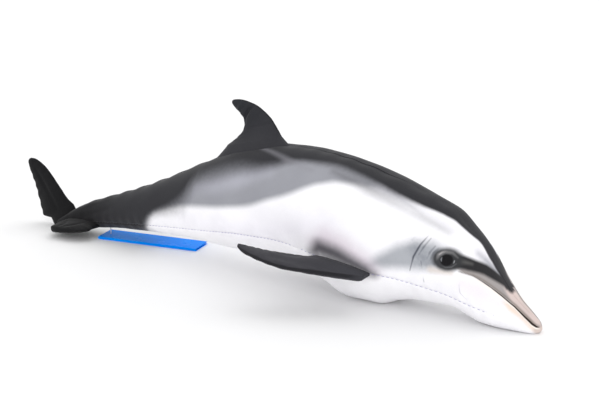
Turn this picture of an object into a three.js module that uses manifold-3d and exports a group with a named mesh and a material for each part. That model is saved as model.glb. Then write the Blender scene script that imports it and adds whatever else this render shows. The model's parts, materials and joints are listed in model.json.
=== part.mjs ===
// A stuffed dolphin cushion, lying on its belly with its chin down and its back arched.
// The body is one bag of three fabric panels: a right and a left side panel, sewn together along the back,
// and a belly panel between them. The fins are thin padded leaves, each of two covers and a filling.
// Frame: millimetres, +X towards the beak, +Y to the dolphin's left, +Z up, and the floor at z = 0.
// The origin is the middle of the flat on which the chest rests.
import * as THREE from "three";
import { mergeVertices } from "three/addons/utils/BufferGeometryUtils.js";
import Module from "manifold-3d";

const wasm = await Module();
wasm.setup();

// ---------------------------------------------------------------- body sizes
const BODY_LENGTH = 580; // end of the tail stock to the tip of the beak
const BODY_HEIGHT = 134; // floor to the highest point of the back
const BODY_WIDTH = 106; // across the chest
const COVER = 1.2; // printed fabric with its lining
const GAP = 0.3; // between neighbouring pieces
const FILLING_GAP = 0.8; // between the body's cover and its filling
const THREAD = 1.0; // diameter of the seam threads

// The body's lines are drawn at these pattern sizes, and stretched to the sizes above.
const PATTERN_LENGTH = 580;
const PATTERN_HEIGHT = 134;
const PATTERN_WIDTH = 106;
const CHEST_AT = 408; // from the end of the tail stock to the middle of the chest's flat

// Height of the back seam, from the end of the tail stock to the beak.
const BACK_LINE = [
  [0, 7], [28, 24], [52, 36], [99, 53], [154, 76], [207, 101.5], [268, 126], [308, 133], [336, 134],
  [371, 131.5], [424, 121.5], [466, 108.5], [490, 100], [507, 86.5], [523, 71], [540, 46], [556, 27],
  [572, 14], [580, 7.5],
];
// Height of the keel. The fabric is pressed flat on the floor where this line runs below it.
const KEEL_LINE = [
  [0, 0], [20, 0], [36, 4], [62, 8], [114, 15], [160, 19], [225, 21], [290, 19], [350, 15.5], [372, 8],
  [390, -1.5], [399, -2.4], [424, -2.4], [441, 4], [460, 8.5], [498, 9.5], [512, 5], [526, -0.5],
  [545, -1.8], [572, -1.5], [580, 0.6],
];
// Half the width, at the widest level.
const WIDTH_LINE = [
  [0, 5], [24, 9], [74, 15], [114, 21], [158, 28], [229, 39], [274, 46], [310, 50.5], [350, 53], [400, 51.5],
  [440, 46], [480, 39], [511, 32], [534, 25.5], [555, 17.5], [571, 10.5], [580, 4.5],
];
// Height of the two belly seams.
const BELLY_SEAM_LINE = [
  [0, 2.5], [24, 8], [74, 18], [158, 31], [229, 41], [290, 50], [332, 53], [368, 48], [400, 41], [450, 37],
  [490, 30], [524, 21], [550, 14], [570, 7.5], [580, 3.4],
];
const WIDEST_LEVEL = 0.46; // share of the local height at which the body is widest
const FULLNESS_ABOVE = 2.0; // power of the section's upper half: 2 is an ellipse, more is fuller
const FULLNESS_BELOW = 2.05; // power of its lower half
const BODY_STATIONS = 32;
const SIDE_STEPS = 8;
const BELLY_STEPS = 9; // odd, so that one strip of the panel lies flat under the chest

// ---------------------------------------------------------------- fin sizes
const FIN_SEAM_GAP = 0.3; // between the two covers of a fin at its edge
const FIN_COVER = 1.0;
const LEAF_ROWS = 9;
const LEAF_STEPS = 6;

// Each leaf is drawn at its own pattern sizes: along the root line from its aft end, and outwards.
// Its lift is how far its tip rises out of the plane of its root.
const DORSAL_FIN = {
  aftAt: 236, chord: 70, reach: 43.5, rootHalf: 6.0, tipHalf: 1.6, clearance: 5.5, lift: 0,
  pattern: { chord: 70, reach: 42 },
  lead: [[70, 0], [67.5, 8], [62, 20], [51, 32], [39, 39], [31, 41.5], [24.5, 41.3]],
  trail: [[4, 0], [16, 5], [26, 11], [29.5, 17], [30, 23], [27, 29], [22.5, 35], [20.5, 39]],
};
const FLIPPER = {
  aftAt: 369, chord: 65, reach: 39, rootHalf: 5.0, tipHalf: 2.0, clearance: 7.0, lift: 3.5,
  pattern: { chord: 65, reach: 39 },
  lead: [[65, 0], [49, 9], [31, 18], [14, 28], [1, 35], [-15, 38.5], [-32, 37.5], [-45, 34.5], [-53, 30.5]],
  trail: [[0, 0], [-8, 5], [-20, 10], [-37, 18], [-50, 24], [-55, 27]],
};
const LEFT_LOBE = {
  frontAt: 26, chord: 40, reach: 69, rootHalf: 4.5, tipHalf: 2.2, clearance: 5.0, lift: 0,
  pattern: { chord: 40, reach: 69 },
  lead: [[40, 0], [35, 10], [32, 25], [29, 40], [25, 53], [18, 64], [12, 68.5]],
  trail: [[0, 0], [-9, 7], [-7, 18], [-4, 28], [-1, 39], [0.5, 48], [2, 58], [4.5, 67]],
};
const RIGHT_LOBE = {
  aftAt: 16, chord: 54, reach: 26, rootHalf: 4.0, tipHalf: 2.4, clearance: 4.5, lift: 0,
  aftHeight: 8.5, frontHeight: 13,
  pattern: { chord: 54, reach: 26 },
  lead: [[54, 0], [58, 8], [51, 17], [38, 23], [25, 26], [17, 25.5]],
  trail: [[0, 0], [3, 7], [7, 15], [10, 20], [12, 23]],
};

// ---------------------------------------------------------------- tag sizes
const TAG_LENGTH = 116;
const TAG_WIDTH = 28;
const TAG_LEAF = 0.6; // thickness of the card
const TAG_SLIT = 1.6; // between the two leaves of the folded card
const TAG_HOLE_IN = 8; // from the end of the card to the middle of its hole
const TAG_AT = 77; // from the end of the tail stock to the fastener
const TAG_YAW = 12.5; // degrees from the body's line, in the rest position
const FILAMENT = 0.9; // diameter of the nylon fastener's stem
const BAR = 1.0; // diameter of its two cross bars
const BAR_LENGTH = 8;
const BAR_DEPTH = 5; // how far inside the belly panel the upper bar lies
const FASTENER_ROOM = 0.4; // clearance round the fastener

// ---------------------------------------------------------------- helpers
const lerp = THREE.MathUtils.lerp;
const point = (x, y, z) => new THREE.Vector3(x, y, z);
const even = (count) => Array.from({ length: count + 1 }, (_, i) => i / count);

// A curve through points [at, value] that never swings past them (a monotone cubic).
function lineThrough(points) {
  const rise = (i) => (points[i + 1][1] - points[i][1]) / (points[i + 1][0] - points[i][0]);
  const last = points.length - 1;
  const slopes = points.map((_, i) => {
    if (i === 0) return rise(0);
    if (i === last) return rise(last - 1);
    const [before, after] = [rise(i - 1), rise(i)];
    return before * after <= 0 ? 0 : (2 * before * after) / (before + after);
  });
  return (at) => {
    const i = Math.min(Math.max(points.findIndex((p) => p[0] >= at) - 1, 0), last - 1);
    const width = points[i + 1][0] - points[i][0];
    const t = THREE.MathUtils.clamp((at - points[i][0]) / width, 0, 1);
    const [a, b] = [points[i][1], points[i + 1][1]];
    const bend = t * (1 - t) * ((1 - t) * (slopes[i] * width) - t * (slopes[i + 1] * width));
    return lerp(a, b, t * t * (3 - 2 * t)) + bend;
  };
}

// A closed solid between two grids of points with the same rows, joined by walls round their borders.
// Points of the two grids that coincide are merged, and its faces are turned outwards.
function solidBetween(front, back) {
  const rows = front.length;
  const columns = front[0].length;
  const places = [...front.flat(), ...back.flat()];
  const at = (side, i, j) => side * rows * columns + i * columns + j;
  const triangles = [];
  const quad = (a, b, c, d) => triangles.push([a, b, c], [a, c, d]);
  for (let i = 0; i + 1 < rows; i++) {
    for (let j = 0; j + 1 < columns; j++) {
      quad(at(0, i, j), at(0, i + 1, j), at(0, i + 1, j + 1), at(0, i, j + 1));
      quad(at(1, i, j), at(1, i, j + 1), at(1, i + 1, j + 1), at(1, i + 1, j));
    }
    quad(at(0, i, 0), at(1, i, 0), at(1, i + 1, 0), at(0, i + 1, 0));
    quad(at(0, i + 1, columns - 1), at(1, i + 1, columns - 1), at(1, i, columns - 1), at(0, i, columns - 1));
  }
  for (let j = 0; j + 1 < columns; j++) {
    quad(at(0, 0, j), at(0, 0, j + 1), at(1, 0, j + 1), at(1, 0, j));
    quad(at(0, rows - 1, j + 1), at(0, rows - 1, j), at(1, rows - 1, j), at(1, rows - 1, j + 1));
  }
  const key = (p) => p.toArray().map((v) => v.toFixed(4)).join();
  const firstWith = new Map();
  const merged = places.map((p, i) => {
    if (!firstWith.has(key(p))) firstWith.set(key(p), i);
    return firstWith.get(key(p));
  });
  const kept = triangles
    .map((triangle) => triangle.map((i) => merged[i]))
    .filter(([a, b, c]) => a !== b && b !== c && a !== c);
  const volume = kept.reduce((sum, [a, b, c]) => {
    return sum + places[a].dot(places[b].clone().cross(places[c]));
  }, 0);
  const facing = volume < 0 ? kept.map(([a, b, c]) => [a, c, b]) : kept;
  const geometry = new THREE.BufferGeometry();
  geometry.setFromPoints(facing.flat().map((i) => places[i]));
  geometry.computeVertexNormals();
  return geometry;
}

// A geometry as a manifold-3d solid, and back.
function toSolid(geometry) {
  const bare = geometry.clone();
  bare.deleteAttribute("normal");
  bare.deleteAttribute("uv");
  const merged = mergeVertices(bare, 1e-4);
  const vertProperties = new Float32Array(merged.attributes.position.array);
  const triVerts = new Uint32Array(merged.index.array);
  return new wasm.Manifold(new wasm.Mesh({ numProp: 3, vertProperties, triVerts }));
}

function toGeometry(solid) {
  const mesh = solid.getMesh();
  const made = new THREE.BufferGeometry();
  made.setAttribute("position", new THREE.BufferAttribute(mesh.vertProperties, 3));
  made.setIndex(new THREE.BufferAttribute(mesh.triVerts, 1));
  made.computeVertexNormals();
  return made;
}

function cut(geometry, ...cutters) {
  return toGeometry(cutters.reduce((solid, cutter) => solid.subtract(toSolid(cutter)), toSolid(geometry)));
}

function join(...geometries) {
  return toGeometry(geometries.map(toSolid).reduce((solid, more) => solid.add(more)));
}

// ---------------------------------------------------------------- the body's skin
const back = lineThrough(BACK_LINE);
const keel = lineThrough(KEEL_LINE);
const halfWidth = lineThrough(WIDTH_LINE);
const bellySeam = lineThrough(BELLY_SEAM_LINE);

const tall = BODY_HEIGHT / PATTERN_HEIGHT;
const wide = BODY_WIDTH / PATTERN_WIDTH;
const long = BODY_LENGTH / PATTERN_LENGTH;
const placeOf = (at) => (at - CHEST_AT) * long;

// The body's section at a distance along the pattern.
function sectionAt(at) {
  const top = back(at) * tall;
  const bottom = keel(at) * tall;
  return { top, bottom, middle: lerp(bottom, top, WIDEST_LEVEL), half: halfWidth(at) * wide };
}

// A point of the skin. The angle starts at the back and runs down the right side to the keel at 180 degrees.
function skinPoint(at, angle) {
  const { top, bottom, middle, half } = sectionAt(at);
  const [across, up] = [Math.sin(angle), Math.cos(angle)];
  const power = 2 / (up > 0 ? FULLNESS_ABOVE : FULLNESS_BELOW);
  const y = -half * Math.sign(across) * Math.abs(across) ** power;
  const z = middle + (up > 0 ? top - middle : bottom - middle) * Math.abs(up) ** power;
  return point(placeOf(at), y, Math.max(z, 0));
}

function skinNormal(at, angle) {
  const [step, turn] = [0.5, 0.01];
  const [aft, fore] = [Math.max(at - step, 0), Math.min(at + step, PATTERN_LENGTH)];
  const along = skinPoint(fore, angle).sub(skinPoint(aft, angle));
  const round = skinPoint(at, angle + turn).sub(skinPoint(at, angle - turn));
  return along.cross(round).normalize().negate();
}

// A point at a depth below the skin; a negative depth lies outside it.
function skin(at, angle, depth = 0) {
  return skinPoint(at, angle).addScaledVector(skinNormal(at, angle), -depth);
}

// The angle of the right belly seam.
function seamAngle(at) {
  const { top, bottom, middle } = sectionAt(at);
  const height = bellySeam(at) * tall;
  if (height >= middle) return Math.acos(((height - middle) / (top - middle)) ** (FULLNESS_ABOVE / 2));
  return Math.acos(-(((middle - height) / (middle - bottom)) ** (FULLNESS_BELOW / 2)));
}

// The angle that a distance along the section takes up, at a place on the skin.
function angleOf(distance, at, angle) {
  const turn = 0.02;
  const arc = skinPoint(at, angle + turn).distanceTo(skinPoint(at, angle - turn));
  return (distance * 2 * turn) / arc;
}

// Stations crowd a little towards both ends, where the body is narrow.
const stations = even(BODY_STATIONS).map((t) => {
  const crowded = (1 - Math.cos(Math.PI * t)) / 2;
  return lerp(t, crowded, 0.45) * PATTERN_LENGTH;
});

// The angles across a panel, from just beyond one seam to just before the other.
function panelAngles(at, steps, from, to) {
  const first = from + angleOf(GAP / 2, at, from);
  const last = to - angleOf(GAP / 2, at, to);
  return even(steps).map((t) => lerp(first, last, t));
}

// A panel of the cover between two lines of angles. The side is 1 for the right and -1 for the left.
function coverPanel(steps, from, to, side = 1) {
  const surface = (depth) => stations.map((at) => {
    return panelAngles(at, steps, from(at), to(at)).map((angle) => skin(at, side * angle, depth));
  });
  return solidBetween(surface(0), surface(COVER));
}

// The filling follows the panels' own points, a gap inside them.
function bodyFilling() {
  const half = (side) => stations.map((at) => {
    const seam = seamAngle(at);
    const flank = panelAngles(at, SIDE_STEPS, 0, seam);
    const belly = panelAngles(at, BELLY_STEPS, seam, 2 * Math.PI - seam).slice(0, (BELLY_STEPS + 1) / 2);
    return [0, ...flank, ...belly, Math.PI].map((angle) => skin(at, side * angle, COVER + FILLING_GAP));
  });
  return solidBetween(half(1), half(-1));
}

// A seam thread, lying on the cover along a line of angles.
function seamThread(angleAt) {
  const radius = THREAD / 2;
  const half = (sign) => stations.map((at) => {
    const angle = angleAt(at);
    const normal = skinNormal(at, angle);
    const across = normal.clone().cross(point(1, 0, 0)).normalize();
    const centre = skin(at, angle, -(radius + GAP));
    return even(3).map((t) => {
      const turn = sign * Math.PI * t;
      return centre.clone()
        .addScaledVector(normal, radius * Math.cos(turn))
        .addScaledVector(across, radius * Math.sin(turn));
    });
  });
  return solidBetween(half(1), half(-1));
}

// ---------------------------------------------------------------- leaves: fins, flippers and fluke lobes
// A padded leaf stands on a straight root line. Its frame has the aft end of that line, the line's
// direction, the outward direction, and the side that its upper cover faces.
function leafPieces(leaf, frame) {
  const scale = [leaf.chord / leaf.pattern.chord, leaf.reach / leaf.pattern.reach];
  const scaled = ([a, b]) => new THREE.Vector2(a * scale[0], b * scale[1]);
  const edge = (points) => new THREE.SplineCurve(points.map(scaled));
  const [lead, trail] = [edge(leaf.lead), edge(leaf.trail)];
  const swell = (u, v) => lerp(leaf.rootHalf, leaf.tipHalf, u ** 0.8) * Math.sqrt(4 * v * (1 - v));
  const place = (u, v, height) => {
    const flat = trail.getPointAt(u).lerp(lead.getPointAt(u), v);
    return frame.aft.clone()
      .addScaledVector(frame.along, flat.x)
      .addScaledVector(frame.out, flat.y)
      .addScaledVector(frame.up, height + leaf.lift * u * u);
  };
  const grid = (us, vs, heightAt) => us.map((u) => vs.map((v) => place(u, v, heightAt(u, v))));
  const rows = even(LEAF_ROWS);
  const columns = even(LEAF_STEPS).map((t) => (1 - Math.cos(Math.PI * t)) / 2);
  const cover = (sign) => solidBetween(
    grid(rows, columns, (u, v) => sign * (FIN_SEAM_GAP / 2 + FIN_COVER + swell(u, v))),
    grid(rows, columns, (u, v) => sign * (FIN_SEAM_GAP / 2 + swell(u, v))),
  );
  // The filling stops one row and one column short of the seams.
  const filled = (sign) => grid(
    rows.slice(0, -1),
    columns.slice(1, -1),
    (u, v) => sign * (FIN_SEAM_GAP / 2 + swell(u, v) - GAP),
  );
  return { upper: cover(1), lower: cover(-1), filling: solidBetween(filled(1), filled(-1)) };
}

// A root line from its aft end to its front end, moved outwards until it clears the skin between them.
function rootFrame(aft, front, out, clearance, skinUnder) {
  const along = front.clone().sub(aft).normalize();
  const outward = out.clone().addScaledVector(along, -out.dot(along)).normalize();
  const bulge = Math.max(...even(12).map((t) => skinUnder(t).sub(aft).dot(outward)));
  return {
    aft: aft.clone().addScaledVector(outward, bulge + clearance),
    along,
    out: outward,
    up: along.clone().cross(outward).normalize(),
  };
}

function dorsalFinFrame() {
  const frontAt = DORSAL_FIN.aftAt + DORSAL_FIN.chord / long;
  const ridge = (t) => skinPoint(lerp(DORSAL_FIN.aftAt, frontAt, t), 0);
  return rootFrame(ridge(0), ridge(1), point(0, 0, 1), DORSAL_FIN.clearance, ridge);
}

function flipperFrame() {
  const frontAt = FLIPPER.aftAt + FLIPPER.chord / long;
  const onSeam = (t) => {
    const at = lerp(FLIPPER.aftAt, frontAt, t);
    return skinPoint(at, seamAngle(at));
  };
  return rootFrame(onSeam(0), onSeam(1), point(0, -1, 0), FLIPPER.clearance, onSeam);
}

function leftLobeFrame() {
  const ridge = (t) => skinPoint(lerp(0, LEFT_LOBE.frontAt, t), 0);
  const frame = rootFrame(ridge(0), ridge(1), point(0, 0, 1), LEFT_LOBE.clearance, ridge);
  const front = ridge(1).addScaledVector(frame.out, LEFT_LOBE.clearance);
  frame.aft = front.addScaledVector(frame.along, -LEFT_LOBE.chord);
  return frame;
}

function rightLobeFrame() {
  const frontAt = RIGHT_LOBE.aftAt + RIGHT_LOBE.chord / long;
  const beside = (at, z) => point(placeOf(at), -sectionAt(at).half, z);
  const widest = (t) => beside(lerp(RIGHT_LOBE.aftAt, frontAt, t), 0);
  const aft = beside(RIGHT_LOBE.aftAt, RIGHT_LOBE.aftHeight);
  const front = beside(frontAt, RIGHT_LOBE.frontHeight);
  return rootFrame(aft, front, point(0, -1, 0), RIGHT_LOBE.clearance, widest);
}

// ---------------------------------------------------------------- tag and fastener
const tagPivot = point(placeOf(TAG_AT), 0, 0);
const tagHeight = 2 * TAG_LEAF + TAG_SLIT;

// A bar or a hole along a direction, between two points.
function rod(start, end, diameter, sides = 10) {
  const length = start.distanceTo(end);
  const geometry = new THREE.CylinderGeometry(diameter / 2, diameter / 2, length, sides);
  const middle = start.clone().lerp(end, 0.5);
  const turn = new THREE.Quaternion().setFromUnitVectors(point(0, 1, 0), end.clone().sub(start).normalize());
  return geometry.applyQuaternion(turn).translate(middle.x, middle.y, middle.z);
}

// The card, folded along its near edge, in the tag's own frame with the hole over the origin.
function tagCard() {
  const half = TAG_WIDTH / 2;
  const outline = new THREE.Shape();
  outline.moveTo(half, 0);
  outline.lineTo(half, TAG_LEAF);
  outline.lineTo(-half + TAG_LEAF, TAG_LEAF);
  outline.lineTo(-half + TAG_LEAF, TAG_LEAF + TAG_SLIT);
  outline.lineTo(half, TAG_LEAF + TAG_SLIT);
  outline.lineTo(half, tagHeight);
  outline.lineTo(-half + TAG_LEAF, tagHeight);
  outline.lineTo(-half, tagHeight - TAG_LEAF);
  outline.lineTo(-half, TAG_LEAF);
  outline.lineTo(-half + TAG_LEAF, 0);
  const card = new THREE.ExtrudeGeometry(outline, { depth: TAG_LENGTH, bevelEnabled: false });
  card.rotateX(Math.PI / 2).rotateZ(Math.PI / 2).translate(-TAG_HOLE_IN, 0, 0);
  const slitMiddle = point(0, 0, TAG_LEAF + TAG_SLIT / 2);
  const hole = rod(slitMiddle, point(0, 0, tagHeight + 1), FILAMENT + 2 * FASTENER_ROOM, 12);
  return cut(card, hole);
}

const barInCard = tagPivot.clone().setZ(TAG_LEAF + TAG_SLIT / 2);
const barInBody = tagPivot.clone().setZ(skinPoint(TAG_AT, Math.PI).z + COVER + BAR_DEPTH);

// A fastener's stem and its two cross bars, or the room for them.
function fastenerParts(room) {
  const bar = (centre) => {
    const reach = point(0, BAR_LENGTH / 2 + room, 0);
    return rod(centre.clone().sub(reach), centre.clone().add(reach), BAR + 2 * room);
  };
  return [rod(barInCard, barInBody, FILAMENT + 2 * room), bar(barInCard), bar(barInBody)];
}

// ---------------------------------------------------------------- finishes
const FINISHES = {
  print_dark: { color: 0x4a494e, roughness: 0.9 },
  print_flank: { color: 0xb9bcc6, roughness: 0.9 },
  belly_white: { color: 0xf4f2f4, roughness: 0.92 },
  fin_black: { color: 0x333238, roughness: 0.88 },
  fibre: { color: 0xeceae4, roughness: 1.0 },
  thread: { color: 0x6d62b8, roughness: 0.6 },
  card_blue: { color: 0x1266d6, roughness: 0.22 },
  nylon: { color: 0xdfe3e6, roughness: 0.4 },
};

const dolphin = new THREE.Group();

function add(name, geometry, finish, parent = dolphin) {
  const material = new THREE.MeshStandardMaterial({ metalness: 0, ...FINISHES[finish] });
  const mesh = new THREE.Mesh(geometry, material);
  mesh.name = name;
  parent.add(mesh);
  return mesh;
}

// ---------------------------------------------------------------- body
const noAngle = () => 0;
const leftSeamAngle = (at) => 2 * Math.PI - seamAngle(at);
const fastenerRoom = fastenerParts(FASTENER_ROOM);

add("right_side_panel", coverPanel(SIDE_STEPS, noAngle, seamAngle), "print_flank");
add("left_side_panel", coverPanel(SIDE_STEPS, noAngle, seamAngle, -1), "print_flank");
add("belly_panel", cut(coverPanel(BELLY_STEPS, seamAngle, leftSeamAngle), fastenerRoom[0]), "belly_white");
add("body_filling", cut(bodyFilling(), fastenerRoom[0], fastenerRoom[2]), "fibre");
add("back_seam_thread", seamThread(noAngle), "print_dark");
add("right_belly_seam_thread", seamThread(seamAngle), "thread");
add("left_belly_seam_thread", seamThread(leftSeamAngle), "thread");

// ---------------------------------------------------------------- fins
function addLeaf(name, leaf, frame, covers = ["upper_panel", "lower_panel"], parent = dolphin) {
  const pieces = leafPieces(leaf, frame);
  add(`${name}_${covers[0]}`, pieces.upper, "fin_black", parent);
  add(`${name}_${covers[1]}`, pieces.lower, "fin_black", parent);
  add(`${name}_filling`, pieces.filling, "fibre", parent);
}

// The same frame on the dolphin's other side.
function mirrored(frame) {
  const across = (v) => point(v.x, -v.y, v.z);
  return { aft: across(frame.aft), along: across(frame.along), out: across(frame.out), up: across(frame.up) };
}

// The upper cover faces up: a root line on the right side has its side vector pointing down.
function facingUp(frame) {
  return frame.up.z < 0 ? { ...frame, up: frame.up.clone().negate() } : frame;
}

const flipper = facingUp(flipperFrame());
addLeaf("dorsal_fin", DORSAL_FIN, dorsalFinFrame(), ["right_cover", "left_cover"]);
addLeaf("right_flipper", FLIPPER, flipper);
addLeaf("left_flipper", FLIPPER, mirrored(flipper));
addLeaf("left_fluke", LEFT_LOBE, leftLobeFrame());
addLeaf("right_fluke", RIGHT_LOBE, facingUp(rightLobeFrame()));

// ---------------------------------------------------------------- tag
const tag = new THREE.Group();
tag.position.copy(tagPivot);
tag.rotation.z = THREE.MathUtils.degToRad(TAG_YAW);
dolphin.add(tag);
add("tag_card", tagCard(), "card_blue", tag);
add("tag_fastener", join(...fastenerParts(0)), "nylon");

export default dolphin;
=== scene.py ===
"""A stuffed dolphin cushion, lying on its belly with its chin down, and the folded card tag under its tail.

The body is a bag of three printed fabric covers: a right and a left side cover, sewn together along the
back, and a belly cover between them. The dorsal fin, flippers and fluke lobes are thin padded leaves. Sizes
are in millimetres here, and every mesh is written in metres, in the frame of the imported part: +X to the
beak, +Y to the dolphin's left.
"""
from __future__ import annotations

import json
import logging
from dataclasses import dataclass, field
from enum import Enum

import bmesh
import bpy
import numpy as np
from mathutils import Matrix, Vector

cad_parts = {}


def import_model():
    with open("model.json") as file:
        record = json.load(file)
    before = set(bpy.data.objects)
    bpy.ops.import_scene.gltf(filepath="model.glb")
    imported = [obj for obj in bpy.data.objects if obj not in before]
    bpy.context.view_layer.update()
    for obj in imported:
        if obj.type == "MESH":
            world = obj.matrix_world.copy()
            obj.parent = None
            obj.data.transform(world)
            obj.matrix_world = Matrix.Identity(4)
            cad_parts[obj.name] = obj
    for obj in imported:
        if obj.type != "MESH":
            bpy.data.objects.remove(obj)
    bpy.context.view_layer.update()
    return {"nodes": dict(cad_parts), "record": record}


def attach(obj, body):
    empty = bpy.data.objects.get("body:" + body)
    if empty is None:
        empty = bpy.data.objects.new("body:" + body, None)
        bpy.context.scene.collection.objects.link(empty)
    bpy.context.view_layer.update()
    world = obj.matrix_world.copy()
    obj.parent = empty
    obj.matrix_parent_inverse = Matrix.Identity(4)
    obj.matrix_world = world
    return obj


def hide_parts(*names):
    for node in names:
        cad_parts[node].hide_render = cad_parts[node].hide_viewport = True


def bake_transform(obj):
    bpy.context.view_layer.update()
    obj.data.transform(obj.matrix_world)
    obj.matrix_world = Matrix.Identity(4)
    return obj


LOG = logging.getLogger("dolphin")
MM = 0.001
SMALL_TURN = 0.01  # radians, for slopes round the section
DARK_THREAD_TO = (-0.268, -0.25)  # metres along the body, where the thread stops being dark
Array = np.ndarray
Colour = tuple[int, int, int]


# ---------------------------------------------------------------- numbers along lines
@dataclass(frozen=True)
class Line:
    """A curve through points (at, value) that never swings past them."""

    points: tuple[tuple[float, float], ...]

    def at(self, places: Array) -> Array:
        """Values along the line: a cubic between neighbouring points.

        The slope at a point is the harmonic mean of the rises on its two sides, and zero where those two
        differ in sign. Before the first point and after the last the value stays.

        Args:
            places: where to read the line.

        Returns:
            The values, in the shape of places.
        """
        x, y = np.array(self.points, float).T
        places = np.asarray(places, float)
        rise = np.diff(y) / np.diff(x)
        same_way = rise[:-1] * rise[1:] > 0
        total = np.where(same_way, rise[:-1] + rise[1:], 1.0)
        inner = np.where(same_way, 2 * rise[:-1] * rise[1:] / total, 0.0)
        slope = np.concatenate(([rise[0]], inner, [rise[-1]]))
        i = np.clip(np.searchsorted(x, places) - 1, 0, len(x) - 2)
        width = x[i + 1] - x[i]
        t = np.clip((places - x[i]) / width, 0.0, 1.0)
        bend = t * (1 - t) * ((1 - t) * slope[i] * width - t * slope[i + 1] * width)
        return y[i] + (y[i + 1] - y[i]) * smooth(t) + bend


def smooth(t: Array) -> Array:
    """A soft step: 3t² - 2t³, with t held between 0 and 1."""
    t = np.clip(t, 0.0, 1.0)
    return t * t * (3 - 2 * t)


def rolling(places: Array, pitch: float, seed: int) -> Array:
    """Smooth chance heights from -1 to 1: one height for each pitch, joined by soft steps.

    Args:
        places: where to read the heights.
        pitch: distance from one height to the next.
        seed: picks the heights.

    Returns:
        The heights, in the shape of places.
    """
    count = 257  # heights before they repeat
    heights = np.random.default_rng(seed).uniform(-1, 1, count)
    i = np.floor(places / pitch).astype(int)
    t = smooth(places / pitch - i)
    return heights[i % count] * (1 - t) + heights[(i + 1) % count] * t


def slack(along: Array, across: Array, pitch: tuple[float, float], seed: int) -> Array:
    """Smooth chance heights from -1 to 1 over a surface, like slack fabric.

    The heights stand on a grid of the two pitches, and a place takes the four round it in shares of soft
    steps.

    Args:
        along: first coordinate.
        across: second coordinate.
        pitch: the grid's two pitches.
        seed: picks the heights.

    Returns:
        The heights, in the shape that along and across make together.
    """
    count = 97  # heights each way before they repeat
    heights = np.random.default_rng(seed).uniform(-1, 1, (count, count))
    i = np.floor(along / pitch[0]).astype(int)
    j = np.floor(across / pitch[1]).astype(int)
    s, t = smooth(along / pitch[0] - i), smooth(across / pitch[1] - j)
    i_near, i_far, j_near, j_far = i % count, (i + 1) % count, j % count, (j + 1) % count
    near = heights[i_near, j_near] * (1 - t) + heights[i_near, j_far] * t
    far = heights[i_far, j_near] * (1 - t) + heights[i_far, j_far] * t
    return near * (1 - s) + far * s


def puckers(along: Array, pitch: float, seed: int) -> Array:
    """Uneven gathers along a seam: a sine of the place along it, whose phase and height both wander."""
    phase = 2 * np.pi * along / pitch + 2.4 * rolling(along, 3.3 * pitch, seed)
    return np.sin(phase) * (0.65 + 0.35 * rolling(along, 4.7 * pitch, seed + 1))


def distance_to_path(places: Array, path: Array) -> tuple[Array, Array]:
    """The least distance from each place to a path of straight stretches.

    Args:
        places: an array of (n, 3) places.
        path: an array of (m, 3) corners.

    Returns:
        The distances, and how far along the path the nearest point is, counted in corners.
    """
    best = np.full(len(places), 1e9)
    where = np.zeros(len(places))
    for k, (a, b) in enumerate(zip(path[:-1], path[1:])):
        step = b - a
        t = np.clip((places - a) @ step / (step @ step), 0, 1)
        gap = np.linalg.norm(places - a - t[:, None] * step, axis=1)
        nearer = gap < best
        best = np.where(nearer, gap, best)
        where = np.where(nearer, k + t, where)
    return best, where


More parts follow.
